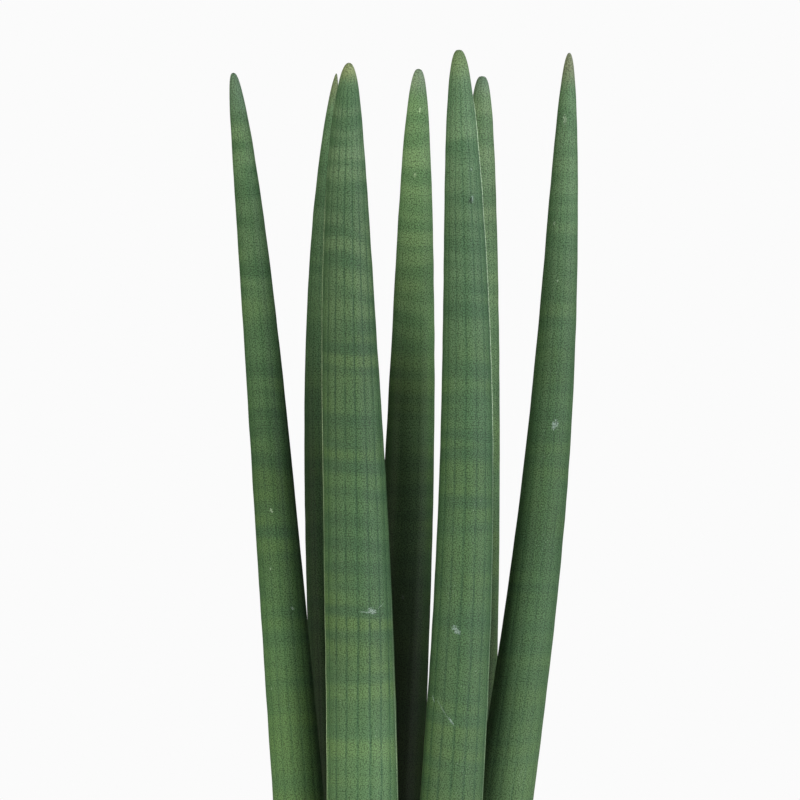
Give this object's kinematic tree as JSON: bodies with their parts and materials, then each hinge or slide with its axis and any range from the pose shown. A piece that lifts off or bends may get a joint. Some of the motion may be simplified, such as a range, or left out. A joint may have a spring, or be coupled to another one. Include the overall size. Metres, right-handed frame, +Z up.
{
  "type": "cylindrical snake plant in a pot",
  "caption": "Upright succulent with thick, round, pointed green leaves growing from a buried rhizome, standing in a soil-filled terracotta pot.",
  "frame": {"origin": "centre of the pot's underside, on the surface it stands on", "axes": "+Z up along the leaves; the side shown in the picture faces -Y, with +X to its right"},
  "size_m": [0.142, 0.142, 0.55],
  "materials": {
    "leaf": "semi-matte waxy skin with darker cross bands",
    "rhizome": "matte, fleshy",
    "soil": "matte, crumbly",
    "terracotta": "unglazed, matte"
  },
  "bodies": {
    "root": {"leaf_far_left": "leaf", "leaf_back_left": "leaf", "leaf_front_left": "leaf", "leaf_back_centre": "leaf", "leaf_front_right": "leaf", "leaf_back_right": "leaf", "leaf_far_right": "leaf", "rhizome": "rhizome", "soil": "soil", "pot": "terracotta"}
  },
  "joints": []
}
